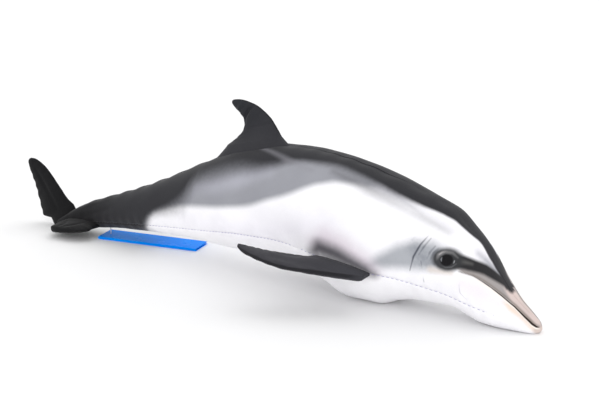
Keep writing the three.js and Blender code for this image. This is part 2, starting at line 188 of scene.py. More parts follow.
# ---------------------------------------------------------------- the body's form
@dataclass(frozen=True)
class BodyForm:
    """The stuffed body's smooth form: a section of two half ellipses, carried from tail stock to beak."""

    length: float = 580.0
    chest_at: float = 408.0  # from the end of the tail stock to the middle of the chest's flat
    cap: float = 5.0  # the ends are rounded over this length
    widest: float = 0.46  # share of the local height at which the body is widest
    fullness: tuple[float, float] = (2.0, 2.05)  # of the section's upper and lower half
    back: Line = Line((
        (0, 7), (28, 24), (52, 36), (99, 53), (154, 76), (207, 101.5), (268, 126), (308, 133), (336, 134),
        (371, 131.5), (424, 121.5), (466, 108.5), (490, 100), (507, 86.5), (523, 71), (540, 46), (556, 27),
        (572, 14), (580, 7.5),
    ))
    keel: Line = Line((
        (0, 0), (20, 0), (36, 4), (62, 8), (114, 15), (160, 19), (225, 21), (290, 19), (350, 15.5), (372, 8),
        (390, -1.5), (399, -2.4), (424, -2.4), (441, 4), (460, 8.5), (498, 9.5), (512, 5), (526, -0.5),
        (545, -1.8), (572, -1.5), (580, 0.6),
    ))
    half_width: Line = Line((
        (0, 5), (24, 9), (74, 15), (114, 21), (158, 28), (229, 39), (274, 46), (310, 50.5), (350, 53),
        (400, 51.5), (440, 46), (480, 39), (511, 32), (534, 25.5), (555, 17.5), (571, 10.5), (580, 4.5),
    ))
    belly_seam: Line = Line((
        (0, 2.5), (24, 8), (74, 18), (158, 31), (229, 41), (290, 50), (332, 53), (368, 48), (400, 41),
        (450, 37),
        (490, 30), (524, 21), (550, 14), (570, 7.5), (580, 3.4),
    ))

    def section(self, at: Array) -> tuple[Array, Array, Array, Array]:
        """The section's top, bottom, widest level and half width, shrunk on a quarter circle at the ends."""
        top, bottom, half = self.back.at(at), self.keel.at(at), self.half_width.at(at)
        middle = bottom + (top - bottom) * self.widest
        from_end = np.minimum(at, self.length - at)
        left = np.clip(1 - from_end / self.cap, 0, 1)
        shrink = np.sqrt(1 - left**2)
        return middle + (top - middle) * shrink, middle + (bottom - middle) * shrink, middle, half * shrink

    def place(self, at: Array, angle: Array) -> Array:
        """Places on the form.

        The angle runs from the back seam (0) down the right side to the keel (pi), and on up the left side.
        Across, a place lies at minus the half width times the sine, and up, at the widest level plus the
        cosine times the way to the top or bottom, each raised to 2 over the fullness of that half. The
        floor stops it.

        Args:
            at: distances from the end of the tail stock.
            angle: angles round the section.

        Returns:
            Places in millimetres, with x, y and z along the last axis.
        """
        top, bottom, middle, half = self.section(at)
        across, up = np.sin(angle), np.cos(angle)
        power = 2 / np.where(up > 0, self.fullness[0], self.fullness[1])
        y = -half * np.sign(across) * np.abs(across) ** power
        z = middle + np.where(up > 0, top - middle, bottom - middle) * np.abs(up) ** power
        return np.stack(np.broadcast_arrays(at - self.chest_at, y, np.maximum(z, 0.0)), axis=-1)

    def outward(self, at: Array, angle: Array) -> Array:
        """Outward directions of the form: the cross product of its two slopes."""
        inner = np.clip(at, 0.6, self.length - 0.6)
        along = self.place(inner + 0.5, angle) - self.place(inner - 0.5, angle)
        round_it = self.place(inner, angle + SMALL_TURN) - self.place(inner, angle - SMALL_TURN)
        normal = np.cross(round_it, along)
        size = np.linalg.norm(normal, axis=-1, keepdims=True)
        flat = np.broadcast_to(np.array([0.0, 0.0, -1.0]), normal.shape)
        return np.where(size > 1e-6, normal / np.maximum(size, 1e-6), flat)

    def angle_at(self, at: Array, height: Array) -> Array:
        """The angle on the right side at which the form has a height: the section's formula turned round."""
        top, bottom, middle, _ = self.section(at)
        above = np.clip((height - middle) / (top - middle), 0, 1) ** (self.fullness[0] / 2)
        below = np.clip((middle - height) / (middle - bottom), 0, 1) ** (self.fullness[1] / 2)
        return np.where(height >= middle, np.arccos(above), np.arccos(-below))

    def seam_angle(self, at: Array) -> Array:
        """The angle of the right belly seam."""
        inner = np.clip(at, self.cap, self.length - self.cap)
        return self.angle_at(inner, self.belly_seam.at(inner))


FORM = BodyForm()


# ---------------------------------------------------------------- printed markings, and painted shade among them
@dataclass(frozen=True)
class Fabric:
    """Places on a cover, as the print sees them: millimetres, with the left side folded onto the right."""

    places: Array  # (n, 3), with y as the distance from the middle plane
    left: Array  # whether each place is on the left side
    angle: Array  # from the back, in radians
    reach: Array  # millimetres for each radian there


ALL_ROUND = 10.0  # how far below zero a line's height goes for a marking to run all the way round


@dataclass(frozen=True)
class Above:
    """The part of the sides above a line of heights. On the left the line runs further over the back.

    A height below zero carries the part on round the belly: at -10 it goes the whole way round.
    """

    heights: Line  # x along the body, and height
    over: Line = Line(((0, 0), (1, 0)))  # degrees more on the left side

    def inside(self, fabric: Fabric) -> Array:
        """Distance inside: the angle left to the line, in millimetres, over the line's own slant."""
        x = fabric.places[:, 0]

        def limit(x: Array) -> Array:
            line = self.heights.at(x)
            low = np.clip(-line / ALL_ROUND, 0, 1) * np.pi
            return FORM.angle_at(np.clip(x + FORM.chest_at, 6, FORM.length - 6), line) + low

        edge = limit(x) + np.where(fabric.left, np.radians(self.over.at(x)), 0.0)
        slant = np.clip((limit(x + 1) - limit(x - 1)) / 2 * fabric.reach, -6, 6)
        return (edge - fabric.angle) * fabric.reach / np.sqrt(1 + slant**2)


@dataclass(frozen=True)
class Stroke:
    """A brush stroke along a path of places (x, y, z), with half its width at each."""

    path: tuple[tuple[float, float, float], ...]
    half: tuple[float, ...]

    def inside(self, fabric: Fabric) -> Array:
        """Distance inside: half the width there, less the distance from the path."""
        gap, where = distance_to_path(fabric.places, np.array(self.path, float))
        return np.interp(where, np.arange(len(self.half)), self.half) - gap


@dataclass(frozen=True)
class Spot:
    """An oval on the side round a place, with its half sizes along and up, turned nose-down by some degrees."""

    centre: tuple[float, float, float]
    half: tuple[float, float]
    turn: float = 0.0

    def inside(self, fabric: Fabric) -> Array:
        """Distance inside: one less the place's share of the oval, times the smaller half size."""
        offset = fabric.places - np.array(self.centre)
        turn = np.radians(self.turn)
        along = offset[:, 0] * np.cos(turn) - offset[:, 2] * np.sin(turn)
        up = offset[:, 0] * np.sin(turn) + offset[:, 2] * np.cos(turn)
        share = np.sqrt((along / self.half[0]) ** 2 + (up / self.half[1]) ** 2 + (offset[:, 1] / 30) ** 2)
        return (1 - share) * min(self.half)


@dataclass(frozen=True)
class Beyond:
    """The part further along the body than a place, or further aft where the sign is -1."""

    x: float
    sign: int = 1
    ease: float = 1.0  # how many times softer than the marking this end is

    def inside(self, fabric: Fabric) -> Array:
        """Distance inside along the body, over the ease."""
        return self.sign * (fabric.places[:, 0] - self.x) / self.ease


@dataclass(frozen=True)
class OverLine:
    """The part above a line drawn on the side of the head, or under it where the sign is -1."""

    heights: Line
    sign: int = 1

    def inside(self, fabric: Fabric) -> Array:
        """Distance inside: the height over the line, over the line's own slant."""
        x, z = fabric.places[:, 0], fabric.places[:, 2]
        slant = (self.heights.at(x + 1) - self.heights.at(x - 1)) / 2
        return self.sign * (z - self.heights.at(x)) / np.sqrt(1 + slant**2)


Shape = Above | Stroke | Spot | Beyond | OverLine


@dataclass(frozen=True)
class Marking:
    """One printed colour or painted shade: where all its shapes meet, with an edge as soft as its softness in
    millimetres.
    """

    name: str
    colour: Colour
    shapes: tuple[Shape, ...]
    softness: float | Line
    strength: float = 1.0
    wobble: float = 0.02  # how far the edge wanders, as a share of its softness

    def depth(self, fabric: Fabric) -> Array:
        """Depth inside the marking, in softnesses: the least of its shapes' distances."""
        inside = np.min([shape.inside(fabric) for shape in self.shapes], axis=0)
        soft = self.softness.at(fabric.places[:, 0]) if isinstance(self.softness, Line) else self.softness
        return np.clip(inside / soft, -3, 3)


WHITE_EDGE = Line((
    (-296, -10), (-278, 10), (-262, 30), (-253, 42), (-245, 49), (-236, 53), (-225, 57), (-205, 63),
    (-180, 67.5), (-154, 72), (-111, 82), (-92, 90), (-66, 100), (-51, 107), (-38, 112), (-23, 115),
    (-8, 115), (15, 112), (39, 106), (63, 98),
    (80, 90), (94, 82), (107, 73), (114, 66), (121, 58), (128, 50), (136, 38),
))
CAPE_EDGE = Line((
    (-296, -10), (-278, 10), (-262, 29), (-253, 40), (-245, 46), (-236, 50), (-225, 54), (-212, 60),
    (-203, 67), (-196, 77), (-187, 88), (-170, 97), (-134, 110), (-109, 115), (-93, 119.5), (-81, 124),
    (-62, 127), (-33, 126), (-10, 122),
    (14, 116), (37, 109), (59, 102.5), (77, 97.8), (88, 93.1), (96, 87.2), (100, 84), (106, 79.2), (111, 74.9),
    (116, 69.4), (123, 59.3), (128, 51.5), (132, 45.8), (136, 40.6), (140, 36), (143, 60),
))
OVER_THE_BACK = Line(((80, 0), (100, 10), (116, 16), (136, 20), (143, 20)))
MOUTH = Line((
    (104, 53), (106.2, 52.1), (115.6, 49.7), (120.5, 46.8), (130, 40), (139.5, 31.9), (149.5, 23.3),
    (159, 15.4),
    (165.7, 9.7), (169, 7.6), (172, 6.4),
))
MOUTH_PATH = (
    (104.5, 30, 53), (115.6, 25, 49.7), (120.5, 22.9, 46.8), (130, 18.1, 40), (139.5, 13.1, 31.9),
    (149.5, 9, 23.3), (159, 8.1, 15.4), (165.7, 6.8, 9.7), (169, 5.4, 7.6), (172, 2, 6.6),
)
LIP_PATH = (
    (100, 30, 56), (108, 27, 54), (114, 24.5, 52.6), (122, 19.5, 49.5), (131, 13, 43.5), (140, 8.5, 35),
    (150, 6, 26.5), (160, 4.5, 18), (172, 2, 9),
)

MARKINGS = (
    # Painted shade: a soft lavender-grey band low on the white side, standing in for the shade that falls
    # there.
    Marking("side_painted_shade", (238, 235, 244), (Stroke(
        ((-200, 40, 44), (-120, 48, 55), (-60, 52, 68), (-20, 52, 80)), (6, 10, 12, 8)),), 30, 0.6),
    Marking("flank", (153, 154, 161), (Above(WHITE_EDGE), Beyond(48, -1, 5)), 9),
    Marking("flank_shade", (92, 92, 96), (Stroke(
        ((-30, 25, 122), (10, 29, 115), (50, 30, 103), (90, 24, 86)), (1, 5, 3, 0.5)),), 14, 0.75),
    Marking("flank_glow", (182, 182, 193), (Stroke(
        ((-188, 30, 84), (-160, 36, 91), (-130, 37, 102), (-96, 32, 114)), (2, 5, 7, 5)),), 20, 0.8),
    Marking("brow_shade", (226, 224, 231), (Above(WHITE_EDGE), Beyond(14, 1, 3)), 7, 0.35),
    Marking("wedge_shade", (128, 130, 141), (Stroke(
        ((114, 13, 66), (124, 8, 57), (134, 2, 47)), (0.5, 3, 4)),), 14, 0.9),
    Marking("cheek", (156, 160, 167), (Stroke(
        ((20, 47, 47), (36, 45, 54), (52, 42, 60), (66, 38, 63), (80, 35, 64), (94, 31, 62)),
        (3, 7, 11, 13, 12, 8)),), 13, 0.85, 0.03),
    Marking("cheek_streaks", (118, 123, 132), (Stroke(
        ((64, 39, 70), (72, 38, 62), (80, 35, 58)), (3, 5, 3)),), 16, 0.5, 0.2),
    Marking("smudge_fringe", (220, 208, 219), (Stroke(
        ((-32, 52, 60), (-22, 52, 66), (-4, 51, 62), (16, 48, 52), (27, 45, 43)),
        (6, 9, 9, 7, 4)),), 20, 0.75),
    Marking("smudge", (74, 72, 79), (Stroke(
        ((-36, 53, 50), (-28, 52, 57), (-8, 51, 53), (12, 48, 46), (26, 45, 39)),
        (3.5, 7, 7, 5.5, 3)),), 14, 0.93),
    Marking("under_eye", (224, 213, 205), (Stroke(((80, 37, 52), (98, 33, 51)), (2.5, 2)),), 7, 0.8),
    Marking("jaw_blush", (243, 236, 243), (OverLine(MOUTH, -1), Stroke(
        ((108, 29, 43), (120, 22, 36), (136, 15, 27)), (4, 7, 5)),), 14, 0.9),
    Marking("jaw_patch", (238, 214, 192), (OverLine(MOUTH, -1), Stroke(
        ((140, 14, 27), (147, 12, 23), (155, 9, 17), (166, 7, 7.5)), (1, 3.2, 3.2, 3)),), 6, 0.85),
    Marking("tip_tan", (206, 186, 174), (Spot((172, 2, 4), (5, 5)),), 4, 0.8),
    Marking("upper_jaw", (164, 158, 157), (OverLine(MOUTH), Stroke(
        LIP_PATH, (0.5, 2.5, 3, 4, 5.5, 9, 12, 12, 10))), 1.6),
    Marking("beak_bridge", (218, 200, 195), (OverLine(MOUTH), Beyond(139, 1, 1.5), Stroke(
        ((140, 3, 36), (150, 3, 27), (160, 2, 19), (171, 1, 11)), (4.5, 6, 7, 7))), 5, 0.95),
    Marking("lip_shade", (124, 114, 106), (OverLine(MOUTH), Stroke(
        MOUTH_PATH, (0.6, 1.2, 1.7, 2.2, 2.8, 3.2, 3.2, 2.6, 1.8, 1.2))), 3.4, 0.85),
    Marking("cape", (44, 44, 48), (
        Above(CAPE_EDGE, OVER_THE_BACK), Beyond(142.5, -1)), Line((
        (-268, 13), (-235, 18), (-200, 34), (-150, 36), (-110, 24), (-60, 12), (-30, 15), (14, 11), (45, 7),
        (80, 3.6), (110, 3))), 1.0, 0.03),
    # Partly print and partly painted shade: the dark print of the tail's underside, carried forward along the
    # belly as the shade round the tag and under the tail.
    Marking("tail_underside_dark_and_shade", (46, 45, 49), (Stroke(
        ((-400, 5, 22), (-330, 12, 14), (-290, 18, 15), (-262, 22, 14), (-238, 20, 12)),
        (24, 18, 14, 9, 4)),), 16),
    Marking("dorsal_streak", (140, 139, 146), (Stroke(
        ((-128, 7, 130), (-118, 12, 129), (-104, 17, 128), (-82, 24, 125), (-52, 29, 120)),
        (0.1, 0.5, 1.1, 2.0, 1.6)),), 9, 0.8),
    Marking("stripe", (44, 43, 45), (Stroke(
        ((96, 31, 62), (106, 26, 60.5), (114, 21, 57.5), (122, 15, 54), (130, 9, 48.5), (137, 2, 41.5),
         (142, 0, 36)),
        (6.6, 6.2, 5.6, 5.2, 5, 4.6, 4)), Beyond(142.5, -1)), 4.2),
    Marking("stripe_light", (104, 103, 102), (Stroke(
        ((103, 28, 62), (113, 22.5, 59.5)), (1.8, 0.6)),), 5, 0.75),
    Marking("eye_patch", (54, 55, 57), (Spot((93.2, 32, 62.2), (13.0, 9.8), 8),), 4.6, 0.97, 0.03),
    Marking("lid_shade", (132, 131, 133), (Stroke(
        ((84, 34, 60), (86, 34, 66), (91, 32, 69.4), (97, 29, 68.6), (102, 28, 64.5)),
        (0.6, 1.4, 1.5, 1.2, 0.4)),), 2.6, 0.85),
    Marking("lid", (226, 220, 220), (Stroke(
        ((86.3, 34, 66.2), (89, 33, 68.8), (93, 31.5, 69.7), (97.5, 29.5, 68.6)),
        (0.3, 0.8, 0.9, 0.3)),), 1.5, 0.9),
    Marking("iris", (19, 18, 21), (Spot((93.0, 32, 61.8), (5.3, 4.9)),), 1.6),
    Marking("eye_gleam", (160, 162, 168), (Stroke(
        ((89.2, 33.5, 64.4), (88.6, 34, 62.4), (89, 34, 60.2)), (0.2, 0.5, 0.2)),), 1.2, 0.8),
    Marking("eye_glint", (196, 198, 203), (Stroke(
        ((99.6, 29.8, 61.8), (99, 30.3, 59.6)), (0.4, 0.3)),), 1.1, 0.8),
    Marking("eye_rim", (150, 150, 154), (Stroke(
        ((88.5, 34, 56.8), (93, 33.5, 55.5), (98, 32, 56.4), (101.5, 29.5, 59.5)),
        (0.1, 0.3, 0.3, 0.1)),), 1.8, 0.5),
    Marking("lip_light", (255, 246, 238), (Stroke(
        tuple((x, y + 0.4, z - 1.5) for x, y, z in MOUTH_PATH),
        (0.2, 0.6, 0.8, 0.9, 1.0, 1.0, 1.0, 0.9, 0.7, 0.3)),), 1.0, 0.9),
    Marking("mouth", (48, 36, 33), (Stroke(
        MOUTH_PATH, (0.35, 0.5, 0.5, 0.5, 0.6, 0.75, 0.95, 1.05, 0.9, 0.7)),), 0.7),
    Marking("throat_crease", (70, 73, 84), (Stroke(
        ((75, 32, 82), (69, 37, 73), (64, 40, 62), (61, 41, 48)), (0.3, 0.8, 0.8, 0.3)),), 1.3, 0.95),
    Marking("cheek_crease", (92, 95, 105), (Stroke(
        ((71, 39, 59), (73, 37.5, 48), (73.5, 37, 38)), (0.3, 0.6, 0.2)),), 1.2, 0.85),
    Marking("brow_crease", (88, 91, 100), (Stroke(
        ((77, 32, 79), (72, 36, 71), (68.5, 38.5, 64)), (0.3, 0.9, 0.3)),), 1.6, 0.85),
    Marking("lid_crease", (92, 95, 103), (Stroke(
        ((82, 33, 73), (78, 35.5, 67), (75.5, 37, 59)), (0.3, 0.9, 0.3)),), 1.8, 0.85),
    Marking("temple_crease", (100, 102, 109), (Stroke(
        ((85, 33, 71.5), (81.5, 35, 67), (79.5, 36.5, 61)), (0.3, 0.9, 0.3)),), 1.8, 0.8),
    Marking("jaw_crease", (196, 190, 204), (Stroke(
        ((107, 30, 47), (105.4, 31, 41), (106.5, 31, 34), (113, 29, 27)),
        (0.1, 0.35, 0.35, 0.1)),), 0.9, 0.8),
    Marking("shoulder_crease", (206, 204, 211), (Stroke(
        ((37, 35, 93), (31, 40, 84), (27, 44, 74), (24, 47, 58)), (0.1, 0.4, 0.4, 0.1)),), 0.9, 0.8),
    Marking("tail_dark", (16, 16, 18), (Beyond(-322, -1),), 110, 0.85),
)


# ---------------------------------------------------------------- meshes
def surface(name: str, grid: Array, closed: bool = False) -> bpy.types.Object:
    """A mesh over a grid of places, one face for each cell.

    Args:
        name: the piece's name.
        grid: places in millimetres, (rows, columns, 3).
        closed: whether the last column joins the first.

    Returns:
        The new object, at the origin, shaded smooth.
    """
    rows, columns = grid.shape[:2]
    index = np.arange(rows * columns).reshape(rows, columns)
    if closed:
        index = np.concatenate((index, index[:, :1]), axis=1)
    faces = np.stack((index[:-1, :-1], index[:-1, 1:], index[1:, 1:], index[1:, :-1]), axis=-1).reshape(-1, 4)
    mesh = bpy.data.meshes.new(name)
    mesh.from_pydata((grid.reshape(-1, 3) * MM).tolist(), [], faces.tolist())
    mesh.polygons.foreach_set("use_smooth", np.ones(len(mesh.polygons), bool))
    mesh.update()
    piece = bpy.data.objects.new(name, mesh)
    bpy.context.scene.collection.objects.link(piece)
    return piece


def seal(piece: bpy.types.Object, close: bool = False) -> None:
    """Merge a piece's doubled points, close its open ends where asked, and turn its faces outwards."""
    made = bmesh.new()
    made.from_mesh(piece.data)
    bmesh.ops.remove_doubles(made, verts=made.verts, dist=2e-6)
    bmesh.ops.dissolve_degenerate(made, edges=made.edges, dist=1e-7)
    if close:
        bmesh.ops.holes_fill(made, edges=made.edges, sides=0)
        bmesh.ops.recalc_face_normals(made, faces=made.faces)
    made.to_mesh(piece.data)
    made.free()
    piece.data.polygons.foreach_set("use_smooth", np.ones(len(piece.data.polygons), bool))


def keep_values(piece: bpy.types.Object, name: str, values: Array) -> None:
    """Store one number for each point of a piece, for its material to read."""
    layer = piece.data.attributes.new(name, "FLOAT", "POINT")
    layer.data.foreach_set("value", np.asarray(values, np.float32).ravel())


# ---------------------------------------------------------------- node building
def linear(colour: Colour) -> tuple[float, float, float, float]:
    """A colour of three numbers up to 255 as the renderer's linear values."""
    share = np.array(colour) / 255
    value = np.where(share <= 0.04045, share / 12.92, ((share + 0.055) / 1.055) ** 2.4)
    return (*(float(v) for v in value), 1.0)


@dataclass
class Sheet:
    """A node tree being drawn, with short ways to add nodes and join them."""

    tree: bpy.types.NodeTree
    column: int = 0

    def add(self, kind: str, **settings: object) -> bpy.types.Node:
        """Add a node, and give it settings by name."""
        node = self.tree.nodes.new(kind)
        node.location = (180 * self.column, 0)
        self.column += 1
        for name, value in settings.items():
            setattr(node, name, value)
        return node

    def join(self, source: bpy.types.NodeSocket, target: bpy.types.NodeSocket) -> None:
        """Join an output to an input."""
        self.tree.links.new(source, target)

    def sum(self, operation: str, *values: object, clamp: bool = False) -> bpy.types.NodeSocket:
        """A Math node over sockets and plain numbers."""
        node = self.add("ShaderNodeMath", operation=operation, use_clamp=clamp)
        for socket, value in zip(node.inputs, values):
            if isinstance(value, bpy.types.NodeSocket):
                self.join(value, socket)
            else:
                socket.default_value = value
        return node.outputs[0]

    def blend(self, share: object, under: object, over: object) -> bpy.types.NodeSocket:
        """A colour Mix node: from under to over by a share."""
        node = self.add("ShaderNodeMix", data_type="RGBA", clamp_factor=True)
        for socket, value in ((node.inputs[0], share), (node.inputs[6], under), (node.inputs[7], over)):
            if isinstance(value, bpy.types.NodeSocket):
                self.join(value, socket)
            else:
                socket.default_value = value
        return node.outputs[2]

    def soft_step(self, value: object, low: float, high: float) -> bpy.types.NodeSocket:
        """A Map Range node: a soft step from 0 at low to 1 at high."""
        node = self.add("ShaderNodeMapRange", interpolation_type="SMOOTHSTEP")
        self.join(value, node.inputs[0])
        node.inputs[1].default_value = low
        node.inputs[2].default_value = high
        return node.outputs[0]

    def noise(self, place: bpy.types.NodeSocket, scale: float, detail: float = 2.0) -> bpy.types.NodeSocket:
        """A Noise node's value over places."""
        node = self.add("ShaderNodeTexNoise")
        self.join(place, node.inputs["Vector"])
        node.inputs["Scale"].default_value = scale
        node.inputs["Detail"].default_value = detail
        return node.outputs[0]

    def group(self, tree: bpy.types.NodeTree, **values: object) -> bpy.types.Node:
        """Place a node group, with its inputs by name."""
        node = self.add("ShaderNodeGroup", node_tree=tree)
        for name, value in values.items():
            if isinstance(value, bpy.types.NodeSocket):
                self.join(value, node.inputs[name])
            else:
                node.inputs[name].default_value = value
        return node


def new_group(
    name: str, inputs: dict[str, str], outputs: dict[str, str]
) -> tuple[Sheet, bpy.types.Node, bpy.types.Node]:
    """A new node group with named sockets.

    Args:
        name: the group's name.
        inputs: socket types by name.
        outputs: socket types by name.

    Returns:
        The group's sheet, its input node and its output node.
    """
    tree = bpy.data.node_groups.new(name, "ShaderNodeTree")
    for label, kind in inputs.items():
        tree.interface.new_socket(label, in_out="INPUT", socket_type=kind)
    for label, kind in outputs.items():
        tree.interface.new_socket(label, in_out="OUTPUT", socket_type=kind)
    sheet = Sheet(tree)
    return sheet, sheet.add("NodeGroupInput"), sheet.add("NodeGroupOutput")


def ink_group() -> bpy.types.NodeTree:
    """One printed colour or painted shade over another: a soft edge at depth zero, whose line wanders with the
    fibres.
    """
    sheet, given, result = new_group(
        "ink_and_painted_shade",
        {"Under": "NodeSocketColor", "Ink": "NodeSocketColor", "Depth": "NodeSocketFloat",
         "Strength": "NodeSocketFloat", "Wobble": "NodeSocketFloat", "Wander": "NodeSocketFloat"},
        {"Colour": "NodeSocketColor"},
    )
    centred = sheet.sum("SUBTRACT", given.outputs["Wander"], 0.5)
    moved = sheet.sum("MULTIPLY_ADD", centred, given.outputs["Wobble"], given.outputs["Depth"])
    share = sheet.sum("MULTIPLY", sheet.soft_step(moved, -0.5, 0.5), given.outputs["Strength"], clamp=True)
    sheet.join(sheet.blend(share, given.outputs["Under"], given.outputs["Ink"]), result.inputs["Colour"])
    return sheet.tree


def nap_group() -> bpy.types.NodeTree:
    """Short brushed nap on knitted fabric: its height, its mottled tone, and a value for the roughness."""
    sheet, given, result = new_group(
        "brushed_nap",
        {"Place": "NodeSocketVector", "Colour": "NodeSocketColor", "Mottle": "NodeSocketFloat"},
        {"Colour": "NodeSocketColor", "Height": "NodeSocketFloat", "Roughness": "NodeSocketFloat"},
    )
    place = given.outputs["Place"]
    fine = sheet.noise(place, 1500, 3)
    broad = sheet.noise(place, 34, 3)
    stretch = sheet.add("ShaderNodeMapping")
    stretch.inputs["Scale"].default_value = (1.0, 1.0, 0.35)
    sheet.join(place, stretch.inputs["Vector"])
    rows = sheet.noise(stretch.outputs[0], 620, 2)
    height = sheet.sum("MULTIPLY_ADD", rows, 0.6, sheet.sum("MULTIPLY", fine, 0.4))
    tone = sheet.sum("ADD", sheet.sum("MULTIPLY", broad, 0.6), sheet.sum("MULTIPLY", fine, 0.4))
    dark = sheet.sum("MULTIPLY", sheet.soft_step(tone, 0.62, 0.38), given.outputs["Mottle"])
    shade = sheet.add("ShaderNodeMix", data_type="RGBA", blend_type="MULTIPLY")
    sheet.join(dark, shade.inputs[0])
    sheet.join(given.outputs["Colour"], shade.inputs[6])
    shade.inputs[7].default_value = (0.55, 0.55, 0.57, 1)
    sheet.join(shade.outputs[2], result.inputs["Colour"])
    sheet.join(height, result.inputs["Height"])
    sheet.join(sheet.sum("MULTIPLY_ADD", rows, 0.16, 0.76), result.inputs["Roughness"])
    return sheet.tree


@dataclass
class Finishes:
    """The materials of the dolphin, each made once."""

    ink: bpy.types.NodeTree = field(default_factory=ink_group)
    nap: bpy.types.NodeTree = field(default_factory=nap_group)
    made: dict[str, bpy.types.Material] = field(default_factory=dict)

    def _start(self, name: str, **plain: object) -> tuple[bpy.types.Material, Sheet, bpy.types.Node]:
        """A new material with a Principled shader, whose even values stand on its own sockets."""
        material = bpy.data.materials.new(name)
        material.use_nodes = True
        material.node_tree.nodes.clear()
        sheet = Sheet(material.node_tree)
        shader = sheet.add("ShaderNodeBsdfPrincipled")
        for label, value in plain.items():
            shader.inputs[label.replace("_", " ")].default_value = value
        output = sheet.add("ShaderNodeOutputMaterial")
        sheet.join(shader.outputs[0], output.inputs[0])
        self.made[name] = material
        return material, sheet, shader

    def _nap(self, sheet: Sheet, shader: bpy.types.Node, colour: object, mottle: float, bump: float) -> None:
        """Finish a fabric: nap over its colour, in the roughness and as a fine bump."""
        place = sheet.add("ShaderNodeTexCoord").outputs["Object"]
        nap = sheet.group(self.nap, Place=place, Colour=colour, Mottle=mottle)
        sheet.join(nap.outputs["Colour"], shader.inputs["Base Color"])
        sheet.join(nap.outputs["Roughness"], shader.inputs["Roughness"])
        raised = sheet.add("ShaderNodeBump")
        raised.inputs["Strength"].default_value = bump
        raised.inputs["Distance"].default_value = 0.0004
        sheet.join(nap.outputs["Height"], raised.inputs["Height"])
        sheet.join(raised.outputs[0], shader.inputs["Normal"])

    def printed(self, name: str, ground: Colour) -> bpy.types.Material:
        """Fabric with the dolphin's markings printed on it, and painted shade among them.

        Args:
            name: the material's name.
            ground: the colour of the bare fabric.

        Returns:
            The material, which reads one attribute for each marking.
        """
        if name in self.made:
            return self.made[name]
        material, sheet, shader = self._start(
            name, Sheen_Weight=0.12, Sheen_Roughness=0.45, Specular_IOR_Level=0.18)
        place = sheet.add("ShaderNodeTexCoord").outputs["Object"]
        wander = sheet.noise(place, 300, 4)
        colour: object = linear(ground)
        for marking in MARKINGS:
            depth = sheet.add("ShaderNodeAttribute", attribute_name=marking.name)
            colour = sheet.group(
                self.ink, Under=colour, Ink=linear(marking.colour), Depth=depth.outputs["Fac"],
                Strength=marking.strength, Wobble=marking.wobble * 4, Wander=wander,
            ).outputs[0]
        self._nap(sheet, shader, colour, 0.14, 0.35)
        return material

    def fin(self, name: str, ground: Colour, tip: Colour) -> bpy.types.Material:
        """Dark fin fabric, which pales or darkens to its tip by the attribute tip_share, with painted shade
        darkening it along its seams by the attribute seam_near.

        Args:
            name: the material's name.
            ground: the colour at the root.
            tip: the colour at the tip.

        Returns:
            The material.
        """
        if name in self.made:
            return self.made[name]
        material, sheet, shader = self._start(
            name, Sheen_Weight=0.1, Sheen_Roughness=0.4, Specular_IOR_Level=0.22)
        share = sheet.add("ShaderNodeAttribute", attribute_name="tip_share").outputs["Fac"]
        edge = sheet.add("ShaderNodeAttribute", attribute_name="seam_near").outputs["Fac"]
        colour = sheet.blend(share, linear(ground), linear(tip))
        # Painted shade: the colour darkens towards near-black along the seams, as the shade in the seam groove.
        colour = sheet.blend(sheet.sum("MULTIPLY", edge, 0.7), colour, linear((20, 19, 22)))
        self._nap(sheet, shader, colour, 0.3, 0.45)
        return material

    def thread(self, name: str, colour: Colour) -> bpy.types.Material:
        """Sewing thread: twisted plies as a fine slanting wave, dark under the dark tail."""
        if name in self.made:
            return self.made[name]
        material, sheet, shader = self._start(name, Roughness=0.55, Sheen_Weight=0.3)
        place = sheet.add("ShaderNodeTexCoord").outputs["Object"]
        wave = sheet.add("ShaderNodeTexWave", bands_direction="DIAGONAL")
        wave.inputs["Scale"].default_value = 1400
        sheet.join(place, wave.inputs["Vector"])
        dark = linear(tuple(int(c * 0.72) for c in colour))
        twisted = sheet.blend(wave.outputs["Fac"], dark, linear(colour))
        split = sheet.add("ShaderNodeSeparateXYZ")
        sheet.join(place, split.inputs[0])
        forward = sheet.soft_step(split.outputs[0], *DARK_THREAD_TO)
        sheet.join(sheet.blend(forward, linear((34, 33, 37)), twisted), shader.inputs["Base Color"])
        return material

    def card(self) -> bpy.types.Material:
        """Glossy printed card: azure, with a faint mottle in the varnish."""
        if "tag_card_gloss" in self.made:
            return self.made["tag_card_gloss"]
        material, sheet, shader = self._start("tag_card_gloss", Specular_IOR_Level=0.03)
        place = sheet.add("ShaderNodeTexCoord").outputs["Object"]
        broad = sheet.noise(place, 60, 3)
        azure = sheet.blend(broad, linear((0, 132, 250)), linear((0, 150, 255)))
        sheet.join(azure, shader.inputs["Base Color"])
        sheet.join(sheet.sum("MULTIPLY_ADD", broad, 0.12, 0.2), shader.inputs["Roughness"])
        raised = sheet.add("ShaderNodeBump")
        raised.inputs["Strength"].default_value = 0.08
        raised.inputs["Distance"].default_value = 0.0003
        sheet.join(sheet.noise(place, 900, 2), raised.inputs["Height"])
        sheet.join(raised.outputs[0], shader.inputs["Normal"])
        return material

    def nylon(self) -> bpy.types.Material:
        """Clear moulded nylon, a little cloudy."""
        if "nylon_clear" in self.made:
            return self.made["nylon_clear"]
        material, sheet, shader = self._start("nylon_clear", Specular_IOR_Level=0.5)
        place = sheet.add("ShaderNodeTexCoord").outputs["Object"]
        cloud = sheet.noise(place, 500, 2)
        cloudy = sheet.blend(cloud, linear((206, 212, 218)), linear((232, 236, 240)))
        sheet.join(cloudy, shader.inputs["Base Color"])
        sheet.join(sheet.sum("MULTIPLY_ADD", cloud, 0.2, 0.25), shader.inputs["Roughness"])
        return material


